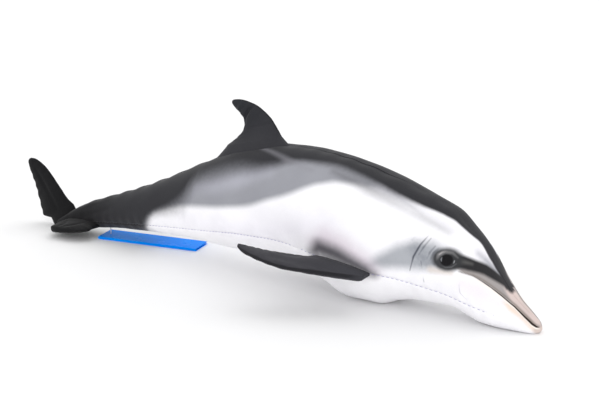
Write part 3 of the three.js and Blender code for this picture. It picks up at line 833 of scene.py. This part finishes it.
# ---------------------------------------------------------------- the body's covers
class Panel(Enum):
    """The three covers of the body, with the part's nodes that each stands for."""

    RIGHT = "right_side_cover"
    LEFT = "left_side_cover"
    BELLY = "belly_cover"

    @property
    def nodes(self) -> tuple[str, ...]:
        """The part's nodes that this cover stands for."""
        return {
            Panel.RIGHT: ("right_side_panel",),
            Panel.LEFT: ("left_side_panel",),
            Panel.BELLY: ("belly_panel", "body_filling"),
        }[self]


@dataclass(frozen=True)
class Seam:
    """How one seam gathers its two covers."""

    sink: float  # how deep it lies
    pinch: float  # how far the gathers are flattened at the thread, from 0 to 1
    pucker: float  # height of the gathers
    pitch: float  # and their spacing
    seed: int


BACK = Seam(0.0, 0.0, 0.8, 24, 11)
RIGHT_BELLY = Seam(0.8, 0.7, 0.75, 13, 23)
LEFT_BELLY = Seam(0.8, 0.7, 0.75, 13, 37)


@dataclass
class BodyCushion:
    """The stuffed body: three covers that turn in at their seams, and the stitches that hold them."""

    finishes: Finishes
    form: BodyForm = FORM
    head_from: float = 462.0  # where the head's closer rows start
    aft_rows: int = 250
    head_rows: int = 190
    side_columns: int = 110
    belly_columns: int = 80
    seam_width: float = 1.2
    crisp: float = 0.0008  # share of a cover between its edge and its first column, for a sharp seam
    shoulder: float = 6.0  # the covers rise to their full height over this distance
    allowance: tuple[float, ...] = (2.2, 3.6)  # turned-in fabric, as depths below the seam
    pucker_reach: float = 9.0
    slack_radius: float = 40.0  # turns an angle round the body into millimetres for the slack
    stitch: tuple[float, float, float] = (3.0, 4.4, 0.2)  # length, pitch and radius
    stitch_margins: tuple[float, float] = (14.0, 12.0)  # bare seam at the tail and at the beak

    def stations(self) -> Array:
        """Rows along the body: even aft of the head, closer over it, and closest at the round ends."""
        cap = self.form.cap * (1 - np.cos(np.linspace(0, np.pi / 2, 9)))
        aft = np.linspace(self.form.cap, self.head_from, self.aft_rows)
        head = np.linspace(self.head_from, self.form.length - self.form.cap, self.head_rows)
        return np.concatenate((cap[:-1], aft, head[1:], (self.form.length - cap[::-1])[1:]))

    def columns(self, count: int) -> Array:
        """Columns across a cover, from 0 to 1: half even, half crowded, with one hard against each seam."""
        t = np.linspace(0, 1, count)
        spread = 0.5 * t + 0.25 * (1 - np.cos(np.pi * t))
        return np.concatenate(([0, self.crisp], spread[1:-1], [1 - self.crisp, 1]))

    def relief(self, at: Array, gap: Array, seam: Seam) -> Array:
        """Height of the cover beside one seam.

        The fabric sinks into the seam as a narrow bell, lies a little low over its shoulder, and gathers in
        puckers that fade with distance.

        Args:
            at: distances along the body.
            gap: distances from the seam.
            seam: the seam.

        Returns:
            Heights above the smooth form, in millimetres.
        """
        groove = -seam.sink * np.exp(-((gap / self.seam_width) ** 2))
        low = -0.45 * np.exp(-((gap / self.shoulder) ** 2))
        body = smooth(at / 30) * smooth((self.form.length - at) / 60)
        thick = 0.4 + 0.6 * smooth(at / 220)
        fade = np.exp(-((gap / self.pucker_reach) ** 2))
        gathers = seam.pucker * thick * puckers(at, seam.pitch, seam.seed) * fade * body
        pinched = 1 - seam.pinch * np.exp(-((gap / self.seam_width) ** 2))
        return groove * (0.3 + 0.7 * body) + low * body + gathers * pinched

    def folds(self, places: Array) -> Array:
        """Pulls in the cover: shallow valleys and rolls along a few paths, on both sides of the body.

        Each is a bell across its path, as high as its depth at that end and fading along it.

        Args:
            places: places on the form, (n, 3).

        Returns:
            Heights in millimetres.
        """
        folded = places * np.array([1, 0, 1]) + np.abs(places * np.array([0, 1, 0]))
        height = np.zeros(len(places))
        for path, depth, width in (
            (((-40, 53, 48), (-30, 53, 62), (-24, 50, 78)), -0.8, 4.5),
            (((30, 44, 38), (44, 43, 46), (54, 41, 58)), -0.7, 5.0),
            (((-46, 51, 50), (-70, 50, 58), (-96, 48, 70)), 0.7, 6.0),
            (((-384, 8, 14), (-350, 12, 24), (-318, 16, 36)), -0.8, 3.0),
            (((-386, 6, 20), (-356, 8, 34), (-330, 11, 46)), 0.6, 3.0),
            (((60, 41, 44), (64, 40, 60), (74, 33, 80)), -0.45, 2.4),
            (((110, 28, 26), (126, 22, 24), (142, 15, 20)), -0.5, 4.0),
            (((-140, 30, 112), (-112, 30, 118), (-80, 30, 121)), -0.6, 6.0),
            (((-60, 25, 126), (-40, 30, 118), (-26, 36, 108)), -0.5, 6.0),
        ):
            gap, where = distance_to_path(folded, np.array(path, float))
            fade = np.sin(np.pi * np.clip((where + 0.35) / (len(path) - 0.3), 0, 1))
            height += depth * np.exp(-((gap / width) ** 2)) * fade
        return height

    def grid(self, panel: Panel) -> tuple[Array, Fabric]:
        """The places of one cover, and how the print sees them.

        Each place is the smooth form's, raised along its outward direction by the relief of the two seams,
        the folds and the slack of the fabric. Beyond each seam the cover turns straight inwards.

        Args:
            panel: which cover.

        Returns:
            The grid of places in millimetres, and the fabric for the print.
        """
        at = self.stations()[:, None]
        seam = self.form.seam_angle(at)
        first, last, count, seams = {
            Panel.RIGHT: (0 * seam, seam, self.side_columns, (BACK, RIGHT_BELLY)),
            Panel.LEFT: (2 * np.pi - seam, 2 * np.pi + 0 * seam, self.side_columns, (LEFT_BELLY, BACK)),
            Panel.BELLY: (seam, 2 * np.pi - seam, self.belly_columns, (RIGHT_BELLY, LEFT_BELLY)),
        }[panel]
        angle = first + (last - first) * self.columns(count)[None, :]
        at = np.broadcast_to(at, angle.shape)
        places = self.form.place(at, angle)
        step = np.linalg.norm(np.diff(places, axis=1), axis=-1)
        arc = np.concatenate((np.zeros((len(at), 1)), np.cumsum(step, axis=1)), axis=1)
        height = self.relief(at, arc, seams[0]) + self.relief(at, arc[:, -1:] - arc, seams[1])
        height += self.folds(places.reshape(-1, 3)).reshape(height.shape)
        across = angle * self.slack_radius
        height += 0.5 * slack(at, across, (46, 34), 5) + 0.22 * slack(at, across, (17, 13), 6)
        outward = self.form.outward(at, angle)
        ends = smooth(np.minimum(at, self.form.length - at) / 8)
        raised = places + outward * (height * ends)[..., None]
        raised[..., 2] = np.maximum(raised[..., 2], 0.0)
        turned = [raised]
        for depth in self.allowance:
            inwards = depth * (0.15 + 0.85 * ends[:, 0])[:, None]
            turned = [raised[:, :1] - (outward[:, 0] * inwards)[:, None], *turned]
            turned = [*turned, raised[:, -1:] - (outward[:, -1] * inwards)[:, None]]
        extra = len(self.allowance)
        full = np.concatenate(turned, axis=1)
        pad = ((0, 0), (extra, extra))
        all_angles = np.pad(angle, pad, mode="edge")
        all_at = np.pad(at, pad, mode="edge")
        smooth_places = np.pad(places, (*pad, (0, 0)), mode="edge")
        ahead = self.form.place(all_at, all_angles + SMALL_TURN)
        behind = self.form.place(all_at, all_angles - SMALL_TURN)
        reach = np.linalg.norm(ahead - behind, axis=-1) / (2 * SMALL_TURN)
        fold = np.where(all_angles > np.pi, 2 * np.pi - all_angles, all_angles)
        flat = smooth_places.reshape(-1, 3)
        fabric = Fabric(
            np.stack((flat[:, 0], np.abs(flat[:, 1]), flat[:, 2]), axis=-1),
            (all_angles > np.pi).ravel(), fold.ravel(), reach.ravel(),
        )
        return full, fabric

    def build_cover(self, panel: Panel) -> bpy.types.Object:
        """One cover, dressed and attached to the body."""
        grid, fabric = self.grid(panel)
        piece = surface(panel.value, grid)
        for marking in MARKINGS:
            keep_values(piece, marking.name, marking.depth(fabric))
        seal(piece)
        ground = (251, 250, 253) if panel is Panel.BELLY else (250, 249, 253)
        finish = "belly_fabric" if panel is Panel.BELLY else "side_print"
        piece.data.materials.append(self.finishes.printed(f"{finish}_plush", ground))
        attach(piece, "body")
        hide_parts(*panel.nodes)
        return piece

    def build_stitches(
        self, name: str, node: str, angle_at: object, colour: Colour, slot: str, sink: float
    ) -> bpy.types.Object:
        """A row of stitches that lies in a seam.

        Each stitch is a tube whose middle line rises out of the seam as a half sine, with a radius that
        closes at both ends as the root of one less the square of the place along it.

        Args:
            name: the piece's name.
            node: the part's node that it stands for.
            angle_at: gives the seam's angle at distances along the body.
            colour: of the thread.
            slot: the record's material slot.
            sink: how deep the seam lies.

        Returns:
            The piece.
        """
        long, pitch, radius = self.stitch
        first, last = self.stitch_margins
        starts = np.arange(first, self.form.length - last, pitch)
        along = np.linspace(-1, 1, 7)
        turn = np.linspace(0, 2 * np.pi, 7)[:-1]
        at = starts[:, None] + (along[None, :] + 1) / 2 * long
        angle = angle_at(at)
        outward = self.form.outward(at, angle)
        centre = self.form.place(at, angle)
        centre = centre + outward * (-sink - 0.5 + 0.4 * np.cos(along * np.pi / 2))[None, :, None]
        across = np.cross(outward, np.array([1.0, 0, 0]))
        across /= np.linalg.norm(across, axis=-1, keepdims=True)
        size = radius * np.sqrt(np.clip(1 - along**4, 0.02, 1))[None, :, None, None]
        cosine, sine = (values[None, None, :, None] for values in (np.cos(turn), np.sin(turn)))
        ring = outward[:, :, None] * cosine + across[:, :, None] * sine
        tubes = centre[:, :, None] + ring * size
        count, rows, columns = tubes.shape[:3]
        index = np.arange(count * rows * columns).reshape(count, rows, columns)
        wrapped = np.concatenate((index, index[:, :, :1]), axis=2)
        sides = np.stack(
            (wrapped[:, :-1, :-1], wrapped[:, 1:, :-1], wrapped[:, 1:, 1:], wrapped[:, :-1, 1:]), axis=-1)
        faces = sides.reshape(-1, 4).tolist() + index[:, 0].tolist() + index[:, -1, ::-1].tolist()
        mesh = bpy.data.meshes.new(name)
        mesh.from_pydata((tubes.reshape(-1, 3) * MM).tolist(), [], faces)
        piece = bpy.data.objects.new(name, mesh)
        bpy.context.scene.collection.objects.link(piece)
        seal(piece, close=True)
        piece.data.materials.append(self.finishes.thread(f"{slot}_finish", colour))
        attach(piece, "body")
        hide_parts(node)
        return piece

    def build(self) -> list[bpy.types.Object]:
        """All covers and stitches of the body."""
        pieces = [self.build_cover(panel) for panel in Panel]
        dark, violet = (40, 39, 44), (176, 173, 222)
        right = self.form.seam_angle
        pieces.append(self.build_stitches(
            "back_seam_stitches", "back_seam_thread", np.zeros_like, dark, "dark_thread", 1.3))
        pieces.append(self.build_stitches(
            "right_belly_seam_stitches", "right_belly_seam_thread", right, violet,
            "seam_thread", RIGHT_BELLY.sink))
        pieces.append(self.build_stitches(
            "left_belly_seam_stitches", "left_belly_seam_thread", lambda at: 2 * np.pi - right(at), violet,
            "seam_thread", LEFT_BELLY.sink))
        return pieces


# ---------------------------------------------------------------- fins, flippers and fluke lobes
class Side(Enum):
    """Which way the upper cover of a leaf faces, or which side of the body it is on."""

    RIGHT = -1
    LEFT = 1
    MIDDLE = 0


@dataclass(frozen=True)
class Leaf:
    """A padded leaf: its outline along and out from the root line, its thickness, and how it tucks in."""

    name: str
    body: str
    joint: str
    nodes: tuple[str, ...]
    outward: tuple[float, float, float]  # rough direction, squared up to the root line
    up: tuple[float, float, float]
    chord: float
    root_half: float
    tip_half: float
    lead: tuple[tuple[float, float], ...]
    trail: tuple[tuple[float, float], ...]
    lift: float = 0.0
    tuck: float = 10.0  # how far the root goes on inside the body
    flare: tuple[float, float, float] = (0.0, 0.0, 0.0)  # more at the tuck's end: aft, forward, thickness
    fillet: tuple[float, float] = (0.0, 1.0)  # more thickness at the root line, and how far out it fades
    fullness: tuple[float, float] = (1.05, 1.05)  # power of the upper and lower cover's section
    under: float = 1.0  # how many times thicker the lower cover swells than the upper
    creases: tuple[tuple[tuple[tuple[float, float], ...], float, float], ...] = ()
    wavy: float = 0.5  # how far the trailing edge waves
    ground: Colour = (58, 57, 62)
    tip: Colour = (52, 51, 56)


def curve_through(points: tuple[tuple[float, float], ...], shares: Array) -> Array:
    """Places along a smooth curve through points, by share of its length.

    Between points the curve is the cubic whose slope at each is half the way from the one before to the one
    after.

    Args:
        points: the corners.
        shares: from 0 at the first point to 1 at the last.

    Returns:
        The places, (n, 2).
    """
    p = np.array(points, float)
    padded = np.concatenate((2 * p[:1] - p[1:2], p, 2 * p[-1:] - p[-2:-1]))
    t = np.linspace(0, 1, 40)[:-1, None, None]
    a, b, c, d = padded[:-3], padded[1:-2], padded[2:-1], padded[3:]
    curve = 0.5 * (2 * b + (c - a) * t + (2 * a - 5 * b + 4 * c - d) * t**2 + (3 * b - a - 3 * c + d) * t**3)
    dense = np.concatenate((curve.transpose(1, 0, 2).reshape(-1, 2), p[-1:]))
    length = np.concatenate(([0], np.cumsum(np.linalg.norm(np.diff(dense, axis=0), axis=1))))
    return np.stack([np.interp(shares * length[-1], length, dense[:, k]) for k in range(2)], axis=-1)


SEAM_TURN = 0.10  # radians round the section over which a leaf's seam sinks


@dataclass
class PaddedLeaf:
    """Builds one fin, flipper or fluke lobe as a closed cushion, tucked into the body at its root."""

    leaf: Leaf
    finishes: Finishes
    joints: dict[str, dict]
    rows: int = 110
    tuck_rows: int = 16
    columns: int = 136
    seam_sink: float = 0.7

    def frame(self) -> tuple[Array, Array, Array, Array]:
        """The root line's aft end, and the along, outward and up directions, from the joint's line."""
        joint = self.joints[self.leaf.joint]
        along = np.array(joint["axis"], float)
        along /= np.linalg.norm(along)
        out = np.array(self.leaf.outward, float)
        out -= along * (out @ along)
        out /= np.linalg.norm(out)
        up = np.cross(along, out)
        up *= 1 if up @ np.array(self.leaf.up) > 0 else -1
        return np.array(joint["pos_m"], float) / MM - along * self.leaf.chord / 2, along, out, up

    def grid(self) -> tuple[Array, Array, Array]:
        """The leaf's surface.

        Rows run from inside the body to the tip. Round each row the angle goes from the trailing seam over
        the upper cover to the leading seam and back under the lower cover: along, the place is at half of
        one less the cosine of the chord, and up, at the half thickness times the sine, raised to the
        cover's fullness. Both seams sink a little, gathers fade away from them, and creases cut valleys
        into the upper cover.

        Returns:
            The grid of places, the share of the way to the tip, and the nearness of a seam, from 0 to 1.
        """
        leaf = self.leaf
        share = np.concatenate((np.zeros(self.tuck_rows), 1 - (1 - np.linspace(0, 1, self.rows)) ** 1.15))
        tuck = np.concatenate((np.linspace(1, 0, self.tuck_rows + 1)[:-1], np.zeros(self.rows)))
        lead, trail = curve_through(leaf.lead, share), curve_through(leaf.trail, share)
        trail = trail + np.stack((-leaf.flare[0] * tuck**1.1, -leaf.tuck * tuck), axis=-1)
        lead = lead + np.stack((leaf.flare[1] * tuck**1.1, -leaf.tuck * tuck), axis=-1)
        trail[:, 0] += leaf.wavy * puckers(share * 60, 9, 3) * smooth(share * 5) * smooth((1 - share) * 5)
        angle = np.linspace(0, 2 * np.pi, self.columns, endpoint=False)
        side = (1 - np.cos(angle))[None, :, None] / 2
        flat = trail[:, None] * (1 - side) + lead[:, None] * side
        width = np.linalg.norm(lead - trail, axis=1)[:, None]
        seam_gap = np.minimum(side[..., 0], 1 - side[..., 0]) * width
        sine = np.sin(angle)[None, :]
        power = np.where(sine > 0, leaf.fullness[0], leaf.fullness[1])
        half = leaf.root_half + (leaf.tip_half - leaf.root_half) * share**0.8 + leaf.flare[2] * tuck
        outwards = np.clip((lead[:, 1] + trail[:, 1]) / 2 / leaf.fillet[1], 0, 1)
        half = half + leaf.fillet[0] * (1 - outwards) ** 2.2
        close = np.sqrt(1 - np.clip((share - 0.9) / 0.1, 0, 1) ** 2 * 0.98)
        rise = (half * close)[:, None] * np.abs(sine) ** power * np.where(sine > 0, 1.0, leaf.under)
        gathers = 0.5 * puckers(share * 80 + 20, 8, 5)[:, None] * np.exp(-seam_gap / 5) * smooth(seam_gap)
        uneven = 0.35 * slack(flat[..., 0] + 200, flat[..., 1] + 200, (13, 11), 8)
        shown = smooth(share * 6)[:, None] * smooth((1 - share) * 6)[:, None] * smooth(rise / 1.2)
        rise = rise + (gathers + uneven) * shown
        spots = np.concatenate((flat, np.zeros((*flat.shape[:2], 1))), axis=-1).reshape(-1, 3)
        for path, depth, breadth in leaf.creases:
            gap, where = distance_to_path(spots, np.array([(*p, 0) for p in path], float))
            fade = np.sin(np.pi * np.clip((where + 0.4) / (len(path) - 0.2), 0, 1))
            valley = (depth * np.exp(-((gap / breadth) ** 2)) * fade).reshape(rise.shape)
            rise = rise + np.where(sine > 0, valley, 0) * smooth(rise / 2)
        rise = np.maximum(rise, 0) * np.sign(sine)
        from_trail = np.minimum(np.abs(angle), np.abs(angle - 2 * np.pi))
        from_lead = angle - np.pi
        pinch = np.exp(-((from_trail / SEAM_TURN) ** 2)) - np.exp(-((from_lead / SEAM_TURN) ** 2))
        flat[..., 0] += self.seam_sink * pinch[None, :] * close[:, None]
        seam_near = np.exp(-((seam_gap / 0.8) ** 2)) * smooth(share * 8)[:, None]
        aft, along, out, up = self.frame()
        grid = aft + flat[..., :1] * along + flat[..., 1:] * out
        grid = grid + (rise + leaf.lift * (share**2)[:, None])[..., None] * up
        middle = grid[:1].mean(axis=1, keepdims=True) - out * 0.5
        grid = np.concatenate((np.broadcast_to(middle, grid[:1].shape), grid))
        grid[..., 2] = np.maximum(grid[..., 2], 0.25)
        shares = np.broadcast_to(share[:, None], rise.shape)
        return grid, np.concatenate((shares[:1], shares)), np.concatenate((seam_near[:1], seam_near))

    def build(self) -> bpy.types.Object:
        """The leaf's piece, with its finish, in place along its joint's root line."""
        leaf = self.leaf
        grid, share, seam_near = self.grid()
        piece = surface(leaf.name, grid, closed=True)
        keep_values(piece, "tip_share", share)
        keep_values(piece, "seam_near", seam_near)
        seal(piece, close=True)
        piece.data.materials.append(self.finishes.fin(f"{leaf.name}_plush", leaf.ground, leaf.tip))
        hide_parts(*leaf.nodes)
        aft, along, out, _ = self.frame()
        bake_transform(piece)
        return piece


FIN_EDGE_LEAD = ((70, 0), (67.5, 8), (62, 20), (51, 32), (39, 39), (31, 41.8), (25, 42.6), (22, 42.4))
FIN_EDGE_TRAIL = (
    (4, 0), (16, 5), (26, 11), (29.5, 17), (30, 23), (27, 29), (22.5, 35), (20.3, 39), (20.6, 41.6),
)
FLIPPER_LEAD = ((61, 0), (47, 9), (31, 18), (14, 28), (1, 35), (-15, 38.5), (-32, 38), (-45, 36), (-54.5, 32))
FLIPPER_TRAIL = ((0, 0), (-8, 5), (-20, 10), (-37, 18), (-50, 23.5), (-57, 26.5))


def leaves() -> tuple[Leaf, ...]:
    """The five leaves of the dolphin."""
    def parts(name: str, *endings: str) -> tuple[str, ...]:
        return tuple(f"{name}_{ending}" for ending in endings)

    def flipper(side: Side) -> Leaf:
        name = "right_flipper" if side is Side.RIGHT else "left_flipper"
        return Leaf(
            f"{name}_cushion", name, f"{name}_flap", parts(name, "upper_panel", "lower_panel", "filling"),
            (0, side.value, 0), (0, 0, 1), 65, 5.0, 2.0, FLIPPER_LEAD, FLIPPER_TRAIL, lift=3.5, tuck=12,
            flare=(-6, 2, -2.4), fullness=(1.2, 0.6), under=1.8, ground=(60, 60, 65), tip=(56, 55, 60),
            creases=((((56, 3), (30, 14), (6, 24), (-20, 31)), -0.9, 4.5),
                     (((10, 2), (-4, 12), (-16, 19)), -0.6, 3.5)),
        )

    return (
        Leaf(
            "dorsal_fin_cushion", "dorsal_fin", "dorsal_fin_sway",
            parts("dorsal_fin", "right_cover", "left_cover", "filling"), (0, 0, 1), (0, -1, 0), 70, 6.0, 1.8,
            FIN_EDGE_LEAD, FIN_EDGE_TRAIL, tuck=13, flare=(20, 9, 5), fillet=(4, 14),
            # The fin's root is lighter than its tip: partly its own tone, partly painted light to match the lit
            # back at its base.
            ground=(53, 53, 57), tip=(38, 40, 45),
            creases=((((48, 33), (40, 30), (34, 24), (31, 19)), -2.6, 1.9),
                     (((36, 37), (30, 35), (27, 33)), 0.8, 2.2),
                     (((62, 14), (48, 13), (34, 13)), -0.6, 1.6)), wavy=0.3,
        ),
        flipper(Side.RIGHT),
        flipper(Side.LEFT),
        Leaf(
            "left_fluke_cushion", "left_fluke", "left_fluke_fold",
            parts("left_fluke", "upper_panel", "lower_panel", "filling"), (0, 0, 1), (0, -1, 0), 40, 4.5, 2.2,
            ((40, 0), (35, 10), (32, 25), (29, 40), (25, 53), (18, 64), (12, 68.5), (9, 69.5)),
            ((0, 0), (-9, 7), (-7, 18), (-4, 28), (-1, 39), (0.5, 48), (2, 58), (4, 66), (6.5, 69)),
            tuck=9, flare=(0, 0, 0.5), ground=(13, 13, 15), tip=(17, 17, 20), wavy=0.7,
            creases=((((18, 6), (16, 24), (14, 44), (12, 58)), -0.8, 3.0),),
        ),
        Leaf(
            "right_fluke_cushion", "right_fluke", "right_fluke_fold", parts("right_fluke", "upper_panel",
            "lower_panel", "filling"), (0, -1, 0), (0, 0, 1), 54, 5.0, 3.2, ((54, 0), (58, 8), (51, 17),
            (38, 23), (25, 26), (17, 25.5), (14, 24.6)), ((0, 0), (3, 7), (7, 15), (10, 20), (12, 23.4)),
            tuck=10, flare=(0, 0, 0.5), ground=(13, 13, 15), tip=(15, 15, 17), wavy=0.7, creases=((((14, 4),
            (22, 12), (24, 20)), -1.2, 2.6), (((40, 3), (36, 12), (30, 20)), -1.0, 2.6)),
        ),
    )


# ---------------------------------------------------------------- studio
@dataclass
class Studio:
    """The camera, the floor and the light round the dolphin."""

    turn: float = 34.303  # degrees from looking along +Y
    tilt: float = 16.0
    distance: float = 1.3
    aim: tuple[float, float, float] = (-0.084506, 0.0, 0.080427)
    lens: float = 81.0
    world: float = 0.99
    sun: float = 0.5
    fill: float = 0.62
    floor_half: float = 9e3  # half the floor's width, in millimetres

    def build_camera(self) -> None:
        """The camera, which looks at its aim from its turn and tilt."""
        turn, tilt = np.radians(self.turn), np.radians(self.tilt)
        back = Vector((np.sin(turn) * np.cos(tilt), -np.cos(turn) * np.cos(tilt), np.sin(tilt)))
        camera = bpy.data.cameras.new("camera")
        camera.lens, camera.sensor_width = self.lens, 36.0
        camera.clip_end = 60
        holder = bpy.data.objects.new("camera", camera)
        place = Vector(self.aim) + self.distance * back
        holder.matrix_world = Matrix.LocRotScale(place, back.to_track_quat("Z", "Y"), None)
        bpy.context.scene.collection.objects.link(holder)
        bpy.context.scene.camera = holder

    def build(self) -> None:
        """The floor and the lights."""
        far = self.floor_half
        floor = surface("floor", np.array([[[-far, -far, 0], [far, -far, 0]], [[-far, far, 0], [far, far, 0]]]))
        floor.data.flip_normals()
        material = bpy.data.materials.new("white_floor")
        material.use_nodes = True
        shader = material.node_tree.nodes["Principled BSDF"]
        shader.inputs["Base Color"].default_value = (0.9, 0.9, 0.905, 1)
        shader.inputs["Roughness"].default_value = 0.55
        shader.inputs["Specular IOR Level"].default_value = 0.2
        floor.data.materials.append(material)
        world = bpy.data.worlds.new("studio")
        world.use_nodes = True
        world.node_tree.nodes["Background"].inputs[0].default_value = (1, 1, 1, 1)
        world.node_tree.nodes["Background"].inputs[1].default_value = self.world
        bpy.context.scene.world = world
        for name, strength, spread, aim in (
            ("overhead", self.sun, 60, (0.15, 0.5, 1.0)),
            ("front_fill", self.fill, 80, (0.5, -1.0, 0.22)),
        ):
            light = bpy.data.lights.new(name, "SUN")
            light.energy, light.angle = strength, np.radians(spread)
            holder = bpy.data.objects.new(name, light)
            holder.rotation_euler = Vector(aim).to_track_quat("Z", "Y").to_euler()
            bpy.context.scene.collection.objects.link(holder)
        bpy.context.scene.view_settings.view_transform = "Standard"


# ---------------------------------------------------------------- the tag
@dataclass
class Tag:
    """The folded card and its fastener, which keep the part's own shapes."""

    finishes: Finishes

    def build(self, nodes: dict[str, bpy.types.Object]) -> None:
        """Give the card and the fastener their finishes."""
        for name, material in (
            ("tag_card", self.finishes.card()),
            ("tag_fastener", self.finishes.nylon()),
        ):
            nodes[name].data.materials.clear()
            nodes[name].data.materials.append(material)


def main() -> None:
    logging.basicConfig(level=logging.INFO, format="%(name)s: %(message)s")
    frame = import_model()
    studio = Studio()
    studio.build_camera()
    finishes = Finishes()
    for piece in BodyCushion(finishes).build():
        LOG.info("%s: %d faces", piece.name, len(piece.data.polygons))
    joints = {joint["name"]: joint for joint in frame["record"]["behaviour"]["joints"]}
    for leaf in leaves():
        piece = PaddedLeaf(leaf, finishes, joints).build()
        LOG.info("%s: %d faces", piece.name, len(piece.data.polygons))
    Tag(finishes).build(frame["nodes"])
    studio.build()


if __name__ == "__main__":
    main()
